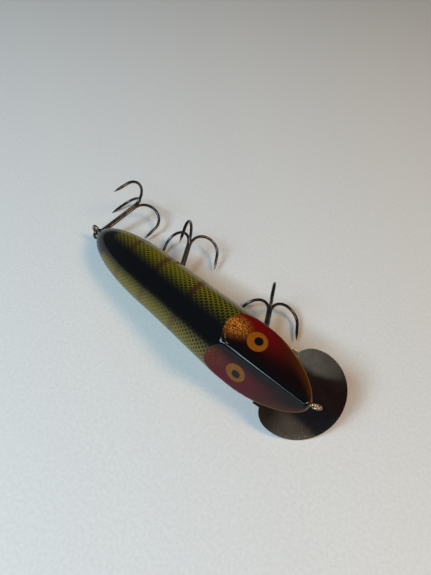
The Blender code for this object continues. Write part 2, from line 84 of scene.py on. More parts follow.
# %% [markdown]
# ## Camera
# The view is from above the nose, tilted and rolled a little, as a phone is held. Where the camera stands was
# found by fitting the body's outline and its two painted eyes. A camera's lens length in millimetres follows
# from its focal length in pixels, the picture's height and the sensor's size.

# %% Camera
PICTURE_HEIGHT, FOCAL_PIXELS, SENSOR = 575, 436.21, 36.0
CAMERA_PLACE, CAMERA_TURN = (0.0702832, -0.0750445, 0.1376354), (38.87999, -4.81318, 46.52881)
NEAREST_SEEN = 0.005
camera = bpy.data.objects.new("camera", bpy.data.cameras.new("camera"))
camera.data.sensor_width = SENSOR
camera.data.lens = FOCAL_PIXELS * SENSOR / PICTURE_HEIGHT
camera.data.clip_start = NEAREST_SEEN
camera.location = CAMERA_PLACE
camera.rotation_euler = [math.radians(angle) for angle in CAMERA_TURN]
scene.collection.objects.link(camera)
scene.camera = camera
print("lens %.2f mm" % camera.data.lens)

# %% [markdown]
# ## Formulas instead of wires
# Node trees are often drawn by hand, one math node at a time. Here a small class stands for a number that
# varies over a surface. Adding or multiplying two of them adds the math node and its links, so a rule for a
# shape or a paint mask reads like school algebra, in geometry and shader trees alike. Each operator is one
# line: the same method, with the math node's operation already filled in.

# %% Nodes, and numbers that live in a node tree
def put(tree, socket, value):
    """Fills an input with a plain value, or links it to a field or another socket."""
    if isinstance(value, Field):
        tree.links.new(value.socket, socket)
    elif isinstance(value, bpy.types.NodeSocket):
        tree.links.new(value, socket)
    else:
        socket.default_value = value


def new_node(tree, kind, values, **settings):
    """A node with its settings made, then its inputs filled by name or number."""
    node = tree.nodes.new(kind)
    for setting, value in settings.items():
        setattr(node, setting, value)
    for socket, value in values.items():
        put(tree, node.inputs[socket], value)
    return node


class Field:
    def __init__(self, tree, socket):
        self.tree = tree
        self.socket = socket

    def worked(self, operation, *others, swapped=False):
        values = [self, *others]
        if swapped:
            values.reverse()
        node = new_node(self.tree, "ShaderNodeMath", dict(enumerate(values)), operation=operation)
        return Field(self.tree, node.outputs[0])

    __add__ = __radd__ = partialmethod(worked, "ADD")
    __sub__ = partialmethod(worked, "SUBTRACT")
    __rsub__ = partialmethod(worked, "SUBTRACT", swapped=True)
    __mul__ = __rmul__ = partialmethod(worked, "MULTIPLY")
    __truediv__ = partialmethod(worked, "DIVIDE")
    __rtruediv__ = partialmethod(worked, "DIVIDE", swapped=True)
    __pow__ = partialmethod(worked, "POWER")
    __abs__ = partialmethod(worked, "ABSOLUTE")
    sin = partialmethod(worked, "SINE")
    cos = partialmethod(worked, "COSINE")
    root = partialmethod(worked, "SQRT")
    at_least = partialmethod(worked, "MAXIMUM")
    at_most = partialmethod(worked, "MINIMUM")
    soft_least = partialmethod(worked, "SMOOTH_MIN")
    soft_most = partialmethod(worked, "SMOOTH_MAX")
    angle_from = partialmethod(worked, "ARCTAN2")

    def rise(self, low, high):
        """0 below low, 1 above high, and an S-curve between them."""
        values = dict(enumerate((self, low, high)))
        node = new_node(self.tree, "ShaderNodeMapRange", values, interpolation_type="SMOOTHSTEP")
        return Field(self.tree, node.outputs[0])

    def fall(self, low, high):
        return 1.0 - self.rise(low, high)


def parts_of(tree, vector):
    node = new_node(tree, "ShaderNodeSeparateXYZ", {0: vector})
    return [Field(tree, socket) for socket in node.outputs]


# %% [markdown]
# ## Geometry node trees
# A tree gets named inputs for its sizes, and a modifier sets them by their identifiers. When the shape is
# done it is turned into a plain mesh, because exported models carry meshes, not modifiers.

# %% Helpers for trees
def add_sockets(tree, direction, kind, names):
    made = {}
    for name in names:
        made[name] = tree.interface.new_socket(name, in_out=direction, socket_type="NodeSocket" + kind)
    return made


def new_shape_tree(name, sizes):
    """A tree with a geometry input and output, a material input and one number input for each size."""
    tree = bpy.data.node_groups.new(name, "GeometryNodeTree")
    add_sockets(tree, "OUTPUT", "Geometry", ["Geometry"])
    add_sockets(tree, "INPUT", "Geometry", ["Geometry"])
    add_sockets(tree, "INPUT", "Material", ["Material"])
    for size, socket in add_sockets(tree, "INPUT", "Float", sizes).items():
        socket.default_value = sizes[size]
    given = tree.nodes.new("NodeGroupInput")
    fields = {size: Field(tree, given.outputs[size]) for size in sizes}
    return tree, given, fields


def end_shape_tree(tree, given, geometry):
    """Realises what was repeated, sets the finish and hands the shape out."""
    real = new_node(tree, "GeometryNodeRealizeInstances", {"Geometry": geometry})
    dressing = {"Geometry": real.outputs["Geometry"], "Material": given.outputs["Material"]}
    dressed = new_node(tree, "GeometryNodeSetMaterial", dressing)
    new_node(tree, "NodeGroupOutput", {"Geometry": dressed.outputs["Geometry"]})
    print(tree.name + ":", len(tree.nodes), "nodes")


# %% Helpers for pieces
def new_piece(name, mesh):
    piece = bpy.data.objects.new(name, mesh)
    scene.collection.objects.link(piece)
    return piece


def settle(piece):
    """Turns live modifiers into plain mesh."""
    graph = bpy.context.evaluated_depsgraph_get()
    mesh = bpy.data.meshes.new_from_object(piece.evaluated_get(graph))
    mesh.name = piece.name
    piece.modifiers.clear()
    piece.data = mesh


def grow(piece, tree, values):
    """Runs a tree on a piece with a finish and any sizes, and keeps the result as the piece's own mesh."""
    modifier = piece.modifiers.new(tree.name, "NODES")
    modifier.node_group = tree
    for item in tree.interface.items_tree:
        if item.item_type == "SOCKET" and item.in_out == "INPUT" and item.name in values:
            modifier[item.identifier] = values[item.name]
    settle(piece)
    piece.data.materials.clear()
    piece.data.materials.append(values["Material"])


def smooth(mesh, angle=40.0):
    mesh.shade_smooth()
    mesh.set_sharp_from_angle(angle=math.radians(angle))


def soften(piece, width, segments, angle):
    """Rounds the edges that are sharper than an angle."""
    bevel = piece.modifiers.new("soft_edges", "BEVEL")
    bevel.width = width * MM
    bevel.segments = segments
    bevel.limit_method = "ANGLE"
    bevel.angle_limit = math.radians(angle)
    settle(piece)
    smooth(piece.data)


def cut_away(piece, cutters):
    """Takes the cutters out of a piece, then throws them away. The new walls get the piece's own finish."""
    for cutter in cutters:
        for finish in piece.data.materials:
            cutter.data.materials.append(finish)
        boolean = piece.modifiers.new(cutter.name, "BOOLEAN")
        boolean.operation = "DIFFERENCE"
        boolean.solver = "EXACT"
        boolean.object = cutter
    settle(piece)
    for cutter in cutters:
        bpy.data.objects.remove(cutter, do_unlink=True)


# %% Helpers for meshes
SAME_POINT = 1e-7


def mesh_from(name, held):
    """A mesh from an edit mesh, which is then let go."""
    mesh = bpy.data.meshes.new(name)
    held.to_mesh(mesh)
    held.free()
    return mesh


def tidy(mesh):
    """Merges doubles and turns every face outwards."""
    held = bmesh.new()
    held.from_mesh(mesh)
    bmesh.ops.remove_doubles(held, verts=held.verts, dist=SAME_POINT)
    bmesh.ops.recalc_face_normals(held, faces=held.faces)
    held.to_mesh(mesh)
    held.free()
    return mesh


def turned_mesh(name, profile, steps):
    """A solid turned about Z from (radius, height) corners in millimetres."""
    held = bmesh.new()
    corners = [held.verts.new((radius * MM, 0.0, height * MM)) for radius, height in profile]
    edges = [held.edges.new(pair) for pair in zip(corners, corners[1:])]
    round_z = {"axis": (0, 0, 1), "cent": (0, 0, 0), "angle": math.tau, "steps": steps}
    bmesh.ops.spin(held, geom=corners + edges, **round_z)
    return tidy(mesh_from(name, held))


def box_mesh(name, sizes, middle):
    held = bmesh.new()
    bmesh.ops.create_cube(held, size=1.0)
    bmesh.ops.scale(held, verts=held.verts, vec=Vector(sizes) * MM)
    bmesh.ops.translate(held, verts=held.verts, vec=Vector(middle) * MM)
    return mesh_from(name, held)


# %% [markdown]
# ## Finishes: a shared effect
# Colours are written as they look on a screen, 0 to 255, and turned into the linear light that shaders use.
# One effect comes back in several finishes: handled metal tarnishes in clouds, with pits and fine scratches.
# So that is one node group with its own grain size. Each finish then decides what tarnish does to its colour.

# %% Colours and mixing
def colour(red, green, blue):
    linear = []
    for value in (red / 255, green / 255, blue / 255):
        linear.append(value / 12.92 if value <= 0.04045 else ((value + 0.055) / 1.055) ** 2.4)
    return (*linear, 1.0)


def blend(tree, amount, under, over):
    """The colour over on top of the colour under, by an amount from 0 to 1."""
    colour_sockets = {0: amount, 6: under, 7: over}
    return new_node(tree, "ShaderNodeMix", colour_sockets, data_type="RGBA").outputs[2]


def noise(tree, place, scale, detail, roughness=0.55):
    values = {"Vector": place, "Scale": scale, "Detail": detail, "Roughness": roughness}
    return Field(tree, new_node(tree, "ShaderNodeTexNoise", values).outputs[0])


# %% Places and shaders
def object_place(tree):
    return tree.nodes.new("ShaderNodeTexCoord").outputs["Object"]


def place_in(tree, axes):
    """Where a point lies in a piece's own axes, in millimetres."""
    values = {"Vector": object_place(tree), "Location": axes.translation, "Rotation": axes.to_euler()}
    values["Scale"] = (MM, MM, MM)
    return new_node(tree, "ShaderNodeMapping", values, vector_type="TEXTURE").outputs["Vector"]


def new_finish(name, metallic):
    """A material, its tree and its shader."""
    made = bpy.data.materials.new(name)
    made.use_nodes = True
    shader = made.node_tree.nodes["Principled BSDF"]
    shader.inputs["Metallic"].default_value = metallic
    return made, made.node_tree, shader


def lay_on(tree, shader, base, roughness):
    put(tree, shader.inputs["Base Color"], base)
    put(tree, shader.inputs["Roughness"], roughness)


def bump(tree, shader, height, distance, strength):
    values = {"Height": height, "Distance": distance, "Strength": strength}
    put(tree, shader.inputs["Normal"], new_node(tree, "ShaderNodeBump", values).outputs["Normal"])


# %% The tarnish group
TARNISH = ("Clouds", "Pits", "Scratches")
PITS_PER_CLOUD, SCRATCH_TURN, SCRATCH_STRETCH = 7.0, (0.5, 0.9, 0.7), (1.0, 14.0, 14.0)
group = bpy.data.node_groups.new("tarnish", "ShaderNodeTree")
add_sockets(group, "INPUT", "Vector", ["Place"])
add_sockets(group, "INPUT", "Float", ["Cloud Scale", "Scratch Scale"])
add_sockets(group, "OUTPUT", "Float", TARNISH)
given = group.nodes.new("NodeGroupInput")
place, cloud_scale, scratch_scale = given.outputs[:3]
pit_scale = Field(group, cloud_scale) * PITS_PER_CLOUD
drawn_out = {"Vector": place, "Rotation": SCRATCH_TURN, "Scale": SCRATCH_STRETCH}
along_scratches = new_node(group, "ShaderNodeMapping", drawn_out).outputs["Vector"]
fields = (
    noise(group, place, cloud_scale, 5.0, 0.62).rise(0.36, 0.66),
    noise(group, place, pit_scale, 2.0, 0.7).rise(0.60, 0.74),
    noise(group, along_scratches, scratch_scale, 2.0, 0.6).rise(0.62, 0.72),
)
new_node(group, "NodeGroupOutput", dict(zip(TARNISH, fields)))
print("tarnish group:", len(group.nodes), "nodes")


def tarnish(tree, cloud_scale, scratch_scale):
    """The shared tarnish in one finish, as three fields."""
    node = tree.nodes.new("ShaderNodeGroup")
    node.node_tree = group
    values = (object_place(tree), cloud_scale, scratch_scale)
    for socket, value in zip(node.inputs, values):
        put(tree, socket, value)
    return [Field(tree, node.outputs[output]) for output in TARNISH]


# %% [markdown]
# ## Body shape
# The real body was turned on a lathe and then planed: two flat cheeks meet on a ridge that falls to the nose.
# It could be sculpted, but it follows a rule, so a tree makes it. Each point of a plain cylinder is moved out
# along its ray to the nearer of two surfaces, the turned one or the planed one. A soft minimum rounds the
# edge between them as sanding and paint do, and the ridge gets a narrow flat, which catches the light.

# %% Body sizes, in millimetres
TAIL_LENGTH, TAIL_FULLNESS, TAIL_FLAT = 40.0, 2.4, 1.6
BARREL_RADIUS, HEAD_STATION, HEAD_RADIUS = 10.45, 83.0, 11.4
NOSE_LENGTH, NOSE_BLUNTNESS, NOSE_FLAT = 25.5, 0.667, 2.0
RIDGE_STATION, RIDGE_HEIGHT, RIDGE_FALL = 78.4, 10.2, math.radians(14.7)
CHEEK_SLOPE, RUNOUT_STATION, RUNOUT_RADIUS = math.radians(36.0), 85.0, 22.0
TAIL_START = TAIL_LENGTH * (1.0 - (1.0 - (TAIL_FLAT / BARREL_RADIUS) ** 2) ** (1.0 / TAIL_FULLNESS))
NOSE_SHARE = 1.0 - (NOSE_FLAT / HEAD_RADIUS) ** (1.0 / NOSE_BLUNTNESS)
NOSE_END = HEAD_STATION + NOSE_LENGTH * math.sqrt(NOSE_SHARE)
RUNOUT_HEIGHT = RIDGE_HEIGHT - (RUNOUT_STATION - RIDGE_STATION) * math.tan(RIDGE_FALL)
CHEEK_SQUARE = Vector((math.tan(RIDGE_FALL), math.tan(CHEEK_SLOPE), 1.0)).normalized()
print("body from %.2f to %.2f mm" % (TAIL_START, NOSE_END))


def turned_radius(station):
    """Radius of the turned body at a station, as a number."""
    if station < TAIL_LENGTH:
        return BARREL_RADIUS * math.sqrt(1.0 - (1.0 - station / TAIL_LENGTH) ** TAIL_FULLNESS)
    share = min(1.0, (station - TAIL_LENGTH) / (HEAD_STATION - TAIL_LENGTH))
    nose = max(0.0, station - HEAD_STATION) / NOSE_LENGTH
    return (BARREL_RADIUS + (HEAD_RADIUS - BARREL_RADIUS) * share) * (1.0 - nose**2) ** NOSE_BLUNTNESS


def roll_up(ahead, lifted):
    """How far the planed surface curves up behind the runout, as a field."""
    behind = (ahead * math.cos(RIDGE_FALL) - lifted * math.sin(RIDGE_FALL)).at_most(0.0)
    return RUNOUT_RADIUS - (RUNOUT_RADIUS**2 - behind * behind).at_least(0.5).root()


# %% Body tree: stations and the turned surface
BODY_SIZES = {"Edge Softness": 0.8, "Ridge Half Width": 0.46, "Ridge Softness": 0.34, "Nose Dome": 0.45}
TUBE = {"Vertices": 224, "Side Segments": 230, "Fill Segments": 5, "Radius": 1.0, "Depth": 1.0}
RIDGE_CROWDING = 0.3
body_tree, given, size = new_shape_tree("turned_and_planed_body", BODY_SIZES)
tube = new_node(body_tree, "GeometryNodeMeshCylinder", TUBE, fill_type="TRIANGLE_FAN")
x, y, z = parts_of(body_tree, body_tree.nodes.new("GeometryNodeInputPosition").outputs[0])
share = 0.5 - 0.5 * ((z + 0.5) * math.pi).cos()
station = TAIL_START + share * (NOSE_END - TAIL_START)
middle_share = (x * x + y * y).root().at_most(1.0)
plain_turn = x.angle_from(y)
turn = plain_turn - RIDGE_CROWDING * plain_turn.sin()
tail_share = (1.0 - station / TAIL_LENGTH).at_least(0.0)
tail_radius = BARREL_RADIUS * (1.0 - tail_share**TAIL_FULLNESS).at_least(0.0).root()
swell = (HEAD_RADIUS - BARREL_RADIUS) * station.rise(TAIL_LENGTH, HEAD_STATION)
nose_share = ((station - HEAD_STATION) / NOSE_LENGTH).at_least(0.0)
lathe = (tail_radius + swell) * (1.0 - nose_share * nose_share) ** NOSE_BLUNTNESS

# %% Body tree: the planed surface
PLANING_ROUNDS, LEAST_FACING, LEAST_PLANED = 3, 0.08, 2.0
RIDGE_THINNING, THINS_FROM, THINS_TO = 0.4, 84.0, 104.0
up, sideways = turn.cos(), turn.sin()
ahead = station - RUNOUT_STATION
ridge_half = size["Ridge Half Width"] * (1.0 - RIDGE_THINNING * station.rise(THINS_FROM, THINS_TO))
above, planed = 0.0, lathe
for _ in range(PLANING_ROUNDS):
    per_planed = 1.0 / planed.at_least(LEAST_PLANED)
    off_ridge = abs(sideways).soft_most(ridge_half * per_planed, size["Ridge Softness"] * per_planed)
    facing = (CHEEK_SQUARE.z * up + CHEEK_SQUARE.y * off_ridge).at_least(LEAST_FACING)
    planed = (CHEEK_SQUARE.z * RUNOUT_HEIGHT - CHEEK_SQUARE.x * ahead + above) / facing
    above = roll_up(ahead, planed * up - RUNOUT_HEIGHT)
reach = lathe.soft_least(planed, size["Edge Softness"]) * middle_share
dome = size["Nose Dome"] * (1.0 - middle_share * middle_share) * share.rise(0.9, 1.0)
spot = {"X": (station + dome) * MM, "Y": reach * sideways * MM, "Z": reach * up * MM}
place = new_node(body_tree, "ShaderNodeCombineXYZ", spot).outputs["Vector"]
moving = {"Geometry": tube.outputs["Mesh"], "Position": place}
moved = new_node(body_tree, "GeometryNodeSetPosition", moving)
end_shape_tree(body_tree, given, moved.outputs["Geometry"])

# %% [markdown]
# ## Perch-scale paint
# The maker sprayed a yellow ground, laid a net over it and sprayed dark green through the net, so the threads
# stay yellow. Then came red-brown bars on each flank, a black back with soft edges, dark red cheeks with a
# dusting of gold, round eyes printed on them, and varnish over it all. The finish is built in that order,
# each layer a mask made from a point's station along the body and its angle round it. Three crossing waves
# make the net: their sum peaks at the middle of each six-sided mesh. The right side is painted a little
# duller, darker and more violet, so several layers change with the share of the left side: that is painted
# shade and a painted reflection of the cool light on the varnish, not a difference in the paint. A picture
# would be easier to paint but fixes the resolution, and formulas stay sharp.

# %% Paint: where a point lies on the lure
paint, tree, shader = new_finish("perch_paint", 0.0)
lay = partial(blend, tree)
on_lure = place_in(tree, LYING)
x, y, z = parts_of(tree, on_lure)
side = abs(y)
round_angle = y.angle_from(z)
from_back = abs(round_angle)
# Several layers are painted duller, darker or more violet on the right side. That is painted shade and a
# painted reflection of the cool light, not a difference in the paint.
left_share = round_angle.rise(-0.7, 0.5)
cloudy = noise(tree, on_lure, 0.22, 3.0)
grainy = noise(tree, on_lure, 2.4, 2.0)
speckle = noise(tree, on_lure, 2.3, 2.0, 0.75)

# %% Paint: ground and net
YELLOW, HEAD_YELLOW, SHADED_YELLOW = colour(126, 114, 8), colour(104, 94, 3), colour(120, 103, 3)
BELLY_CREAM, NET_GREEN, MOST_GREEN = colour(214, 196, 128), colour(14, 26, 4), 0.95
NET_RADIUS, NET_STEP, NET_ROW = 10.9, Vector((1.00, -0.75)), Vector((1.12, 1.06))
# The right flank's ground is painted a duller yellow, as painted shade.
ground = lay(left_share, SHADED_YELLOW, lay(x.rise(60.0, 78.0), YELLOW, HEAD_YELLOW))
ground = lay(from_back.rise(1.75, 2.5), ground, BELLY_CREAM)
girth = round_angle * NET_RADIUS
net_area = NET_STEP.x * NET_ROW.y - NET_STEP.y * NET_ROW.x
steps = (x * NET_ROW.y - girth * NET_ROW.x) / net_area
rows = (girth * NET_STEP.x - x * NET_STEP.y) / net_area
waves = (math.tau * steps).cos() + (math.tau * rows).cos() + (math.tau * (steps + rows)).cos()
cell = waves.rise(-1.0, -0.1)
# The net is painted weaker on the right side, as a painted veil of reflected light.
sprayed = from_back.fall(0.8, 1.6) * (0.62 + 0.28 * left_share).at_least(0.72 * x.rise(45.0, 75.0))
sprayed = sprayed * (0.7 + 0.5 * cloudy + 0.5 * x.rise(48.0, 72.0))
flank = lay(cell * sprayed.at_most(MOST_GREEN), ground, NET_GREEN)

# %% Paint: bars, black back and grey tail tip
BARS, BAR_LEAN, BAR_MIDDLE = ((10.4, 0.35), (25.6, 0.8), (40.9, 0.9), (58.2, 1.0)), 2.6, 0.45
BAR_BROWN, BACK_BLACK, TIP_GREY = colour(74, 32, 20), colour(7, 9, 12), colour(30, 30, 30)
BACK_MIDDLE, BACK_HALF_ANGLE, TAIL_WIDENING = 0.055, 0.40, 1.5
# The bars are painted weaker on the right side, as painted shade and a painted veil of reflected light.
for bar_station, depth in BARS:
    centre = bar_station - BAR_LEAN * (from_back - BAR_MIDDLE)
    bar = abs(x - centre + 1.6 * (grainy - 0.5)).fall(0.4, 1.9) * from_back.fall(1.5, 2.1)
    flank = lay(bar * ((0.5 + 0.35 * left_share) * depth), flank, BAR_BROWN)
off_middle = abs(round_angle - BACK_MIDDLE) + 0.12 * (grainy - 0.5)
back_half = BACK_HALF_ANGLE + TAIL_WIDENING * x.fall(3.0, 15.5)
back = off_middle.fall(back_half - 0.18, back_half + 0.36 + 0.23 * left_share)
flank = lay(back, flank, BACK_BLACK)
flank = lay(x.fall(1.5, 7.0) * 0.6, flank, TIP_GREY)

# %% Paint: cheeks
DEEP_RED, REFLECTED_VIOLET_RED, WARM_RED = colour(16, 2, 2), colour(78, 3, 19), colour(92, 3, 3)
NOSE_BROWN, RIDGE_BLACK = colour(64, 30, 3), colour(6, 6, 8)
RED_END, RED_FADE = 106.0, 20.0
ahead, lifted = x - RUNOUT_STATION, z - RUNOUT_HEIGHT
off_plane = CHEEK_SQUARE.x * ahead + CHEEK_SQUARE.y * side + CHEEK_SQUARE.z * lifted
off_plane = off_plane - roll_up(ahead, lifted)
on_ridge = x.rise(79.5, 81.0) * side.fall(1.0, 1.6) * z.rise(0.8, 1.8)
cheek = off_plane.rise(-0.42, -0.22).at_least(on_ridge)
nose_share = ((x - HEAD_STATION) / NOSE_LENGTH).at_least(0.0)
lathe = HEAD_RADIUS * (1.0 - nose_share * nose_share).at_least(0.02) ** NOSE_BLUNTNESS
rim_share = (y * y + z * z).root() / lathe
# The right cheek's red is painted darker and violet: painted shade and a painted reflection of the cool light
# on the varnish.
red_end = RED_END - 4.0 * left_share
reddened = side.rise(1.2 + 1.2 * left_share, 6.0 + 2.8 * left_share) * x.fall(red_end - RED_FADE, red_end)
red = lay(reddened, DEEP_RED, lay(left_share, REFLECTED_VIOLET_RED, WARM_RED))
red = lay(x.rise(87.0, 101.0) * rim_share.rise(0.55, 0.98), red, NOSE_BROWN)
red = lay(side.fall(0.6, 2.4 + 0.8 * left_share), red, RIDGE_BLACK)

# %% Paint: gold dust
DUST_STATION, DUST_SIDE, DUST_LENGTH, DUST_WIDTH = 76.8, 5.7, 6.4, 4.6
DARK_GOLD, BRIGHT_GOLD = colour(66, 20, 3), colour(214, 138, 48)
dust_along, dust_across = (x - DUST_STATION) / DUST_LENGTH, (side - DUST_SIDE) / DUST_WIDTH
from_dust = (dust_along * dust_along + dust_across * dust_across).root() + 0.5 * (speckle - 0.5)
gold = lay(speckle.rise(0.43, 0.64) * (0.4 + 0.6 * side.rise(3.0, 6.5)), DARK_GOLD, BRIGHT_GOLD)
# Little gold is painted on the right cheek, as painted shade and a painted veil over the same gold dust.
red = lay(from_dust.fall(0.30, 1.05) * (0.08 + 0.92 * left_share), red, gold)

# %% Paint: eyes
EYE_STATION, EYE_SIDE, EYE_RADIUS, EYE_BLUR = 84.8, 5.95, 3.35, 0.12
PUPIL_STATION, PUPIL_SIDE, PUPIL_RADIUS, PUPIL_BLUR = EYE_STATION + 0.25, EYE_SIDE + 0.3, 1.48, 0.1
SHADED_AMBER, AMBER, PALE_AMBER = colour(98, 62, 22), colour(126, 66, 4), colour(136, 78, 10)
PUPIL_BLACK = colour(8, 8, 9)


def printed_spot(station, offset, radius, blur):
    """A round spot on both cheeks."""
    drop = (station - RIDGE_STATION) * math.tan(RIDGE_FALL) + offset * math.tan(CHEEK_SLOPE)
    along, across, over = x - station, side - offset, z - (RIDGE_HEIGHT - drop)
    away = (along * along + across * across + over * over).root()
    return away.fall(radius - blur, radius + blur)


iris = printed_spot(EYE_STATION, EYE_SIDE, EYE_RADIUS, EYE_BLUR)
pupil = printed_spot(PUPIL_STATION, PUPIL_SIDE, PUPIL_RADIUS, PUPIL_BLUR)
# The right eye's amber is painted duller, as painted shade.
amber = lay(grainy.rise(0.3, 0.7), lay(left_share, SHADED_AMBER, AMBER), PALE_AMBER)
red = lay(iris, red, amber)
red = lay(pupil, red, PUPIL_BLACK)

# %% Paint: head underside, worn edge, varnish
JAW_RED, JAW_BROWN, THROAT_ORANGE = colour(120, 18, 10), colour(56, 30, 8), colour(196, 112, 40)
WORN_GOLD = colour(160, 104, 28)
VARNISH = {"Specular IOR Level": 0.0, "Coat Weight": 0.85, "Coat Roughness": 0.05, "Coat IOR": 1.37}
chin = lay(from_back.rise(1.5, 2.4), lay(x.rise(97.0, 103.0), JAW_RED, JAW_BROWN), THROAT_ORANGE)
skin = lay(x.rise(76.0, 79.5) * from_back.rise(0.9, 1.25), flank, chin)
skin = lay(cheek, skin, red)
worn = rim_share.rise(0.955, 0.975) * rim_share.fall(0.985, 0.998) * x.rise(88.0, 94.0) * side.rise(1.0, 2.0)
skin = lay(worn * (0.1 + 0.2 * left_share + 0.5 * grainy), skin, WORN_GOLD)
lay_on(tree, shader, skin, 0.26 + 0.16 * grainy)
for socket, value in VARNISH.items():
    shader.inputs[socket].default_value = value
bump(tree, shader, cloudy + 0.12 * grainy + 0.15 * iris, 0.3 * MM, 0.25)
print("paint:", len(tree.nodes), "nodes")

# %% [markdown]
# ## Making the body
# The tree gives the whole skin. A sawn slot for the lip, round seats for the hook cups and the screw heads
# are then cut from it, because those show from below. The finished mesh is laid down last.

# %% Where the lip, its screws and the cups sit
LIP_STATION, LIP_DROP, LIP_TILT, LIP_SHIFT = 101.3, 9.2, math.radians(38.0), -0.3
LIP_RADIUS, LIP_THICKNESS, LIP_NECK_HALF, LIP_NECK_REACH = 15.4, 0.8, 10.7, 11.0
LIP_SCREW_REACH, LIP_SCREW_SPREAD, SCREW_GRIP, SCREW_HEAD = 7.0, 4.5, 3.2, 1.8
EYE_RING, EYE_WIRE, EYE_STAND, EYE_SHANK, EYE_SINK = 2.1, 0.6, 0.4, 12.0, 0.9
CUP_RIM, CUP_MOUTH, CUP_FLOOR, CUP_WALL, FIT = 5.0, 4.3, 2.2, 0.5, 0.3
BELLY_STATIONS = {"front": 83.2, "rear": 38.6}


def axes_at(place, x_axis, y_axis):
    turned = Matrix((x_axis, y_axis, x_axis.cross(y_axis))).transposed().to_4x4()
    return Matrix.Translation(Vector(place) * MM) @ turned


LIP_AXES = axes_at(
    (LIP_STATION, LIP_SHIFT, -LIP_DROP),
    Vector((math.cos(LIP_TILT), 0.0, -math.sin(LIP_TILT))),
    Vector((0.0, 1.0, 0.0)),
)
SCREW_PLACES = []
for screw_side in (1, -1):
    screw_at = Vector((-LIP_SCREW_REACH, screw_side * LIP_SCREW_SPREAD - LIP_SHIFT, 0.0))
    SCREW_PLACES.append(Matrix.Translation(screw_at * MM))


def cup_rim_depth(cup_station):
    return math.sqrt(turned_radius(cup_station) ** 2 - (CUP_RIM + FIT) ** 2) - CUP_WALL


def cup_depth(cup_station):
    """How far the cup's floor lies below its rim."""
    foot = EYE_RING + EYE_WIRE + EYE_STAND
    return cup_rim_depth(cup_station) - (turned_radius(cup_station) - EYE_SINK) + foot


def cup_axes(cup_station):
    """Z points out of the belly, and the origin lies at the rim."""
    rim = (cup_station, 0.0, -cup_rim_depth(cup_station))
    return axes_at(rim, Vector((1.0, 0.0, 0.0)), Vector((0.0, -1.0, 0.0)))


print("cup floors lie", ["%.2f" % cup_depth(station) for station in BELLY_STATIONS.values()], "mm deep")

# %% Body piece and its cuts
SAW_FIT, CUP_FIT, PAST_SKIN, SCREW_STEPS, CUP_STEPS = 0.08, 0.05, 15.0, 48, 72


def cutter(name, mesh, place):
    mesh.transform(place)
    return new_piece(name, mesh)


slot_length = 2 * LIP_RADIUS + LIP_NECK_REACH
slot_sizes = (slot_length, 4 * LIP_RADIUS, LIP_THICKNESS + 2 * SAW_FIT)
slot = box_mesh("slot", slot_sizes, (slot_length / 2 - LIP_NECK_REACH, 0.0, 0.0))
cutters = [cutter("slot", slot, LIP_AXES)]
for place in SCREW_PLACES:
    rim, under = SCREW_HEAD + FIT, -SCREW_GRIP
    seat = [(0.0, under), (rim, under), (rim, -PAST_SKIN), (0.0, -PAST_SKIN)]
    cutters.append(cutter("screw_seat", turned_mesh("screw_seat", seat, SCREW_STEPS), LIP_AXES @ place))
for cup_station in BELLY_STATIONS.values():
    rim, floor = CUP_RIM + CUP_FIT, -cup_depth(cup_station) - CUP_WALL
    seat = [(0.0, PAST_SKIN), (rim, PAST_SKIN), (rim, 0.0), (CUP_MOUTH, 0.0)]
    seat += [(CUP_FLOOR + CUP_WALL, floor), (0.0, floor)]
    cutters.append(cutter("cup_seat", turned_mesh("cup_seat", seat, CUP_STEPS), cup_axes(cup_station)))
body = new_piece("painted_body", bpy.data.meshes.new("painted_body"))
grow(body, body_tree, {"Material": paint})
cut_away(body, cutters)
smooth(tidy(body.data))
body.data.transform(LYING)
low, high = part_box("body")
past = []
for axis in range(3):
    reached = [corner[axis] for corner in body.bound_box]
    past += [low[axis] - min(reached), max(reached) - high[axis]]
print("body:", len(body.data.polygons), "faces, past the solid's box by %.2f mm" % (max(past) / MM))

# %% [markdown]
# ## Diving lip
# The lip is a stamped disc of plated sheet on a neck as wide as the chin. Its plate is violet and brown along
# the middle, partly tarnish and partly a painted reflection of the dark nose above it, and clearer at both
# sides, with a painted bright sheen on its left side and bright metal where the edge was rubbed. The outline
# is a list of points, given a thickness and a small bevel, so that the rim catches the light. The finish lays
# its stains and painted reflections in the lip's own axes, and knows the rim from the way a face points.

# %% Lip finish
VIOLET_STAIN_AND_REFLECTION, BROWN_STAIN_AND_REFLECTION = colour(66, 62, 76), colour(78, 50, 48)
DARK_CLEAR, PALE_CLEAR, BRIGHT_CLEAR_AND_SHEEN = colour(92, 76, 58), colour(214, 194, 164), colour(232, 218, 196)
SMUDGE, CLOUD = colour(120, 108, 98), colour(136, 124, 110)
PIT, RUBBED = colour(60, 50, 44), colour(226, 216, 200)
lip_metal, tree, shader = new_finish("tarnished_lip_plate", 1.0)
lay = partial(blend, tree)
clouds, pits, scratches = tarnish(tree, 120.0, 260.0)
smudges = noise(tree, object_place(tree), 45.0, 4.0, 0.6)
wander = 3.0 * (smudges - 0.5)
along, across = parts_of(tree, place_in(tree, LYING @ LIP_AXES))[:2]
# A brighter band on the plate's left side: partly clearer metal, partly a painted reflection of the light.
left_clear_and_sheen = (across - 0.35 * along.at_least(0.0) + wander).rise(6.8, 9.6)
left_clear_and_sheen = left_clear_and_sheen * (along + 2.0 * wander).fall(3.0, 12.0)
right_clear = (across + 0.15 * along - wander).fall(-9.5, -5.5)
